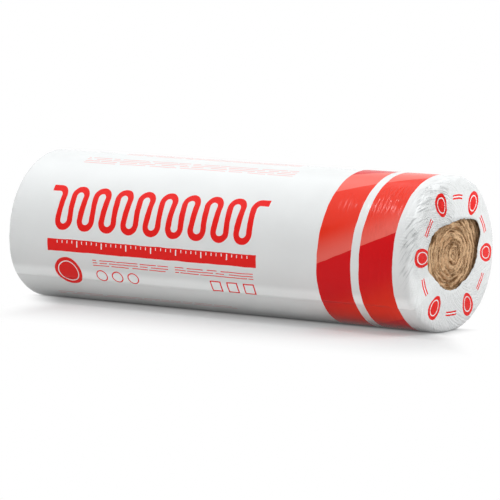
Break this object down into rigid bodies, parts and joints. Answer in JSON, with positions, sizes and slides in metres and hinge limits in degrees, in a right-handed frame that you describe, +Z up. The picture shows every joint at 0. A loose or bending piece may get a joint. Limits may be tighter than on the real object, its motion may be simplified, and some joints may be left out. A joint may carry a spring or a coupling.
{
  "type": "insulation roll",
  "caption": "Roll of brown mineral wool blanket, tightly wound without a core and packed in a white film sleeve that leaves the wool showing through an opening in each end.",
  "frame": {"origin": "on the floor under the middle of the roll, which lies on its side", "axes": "+X along the roll's axis towards the end with the two red bands, +Y to the back, +Z up"},
  "size_m": [1.2, 0.37, 0.37],
  "materials": {
    "mineral_wool": "matte brown fibre, layered turns with ragged edges",
    "packing_film": "white polyethylene film with plain red printing, satin gloss, gathered at the ends"
  },
  "bodies": {
    "root": {"wool_roll": "mineral_wool", "film_sleeve": "packing_film"}
  },
  "joints": []
}
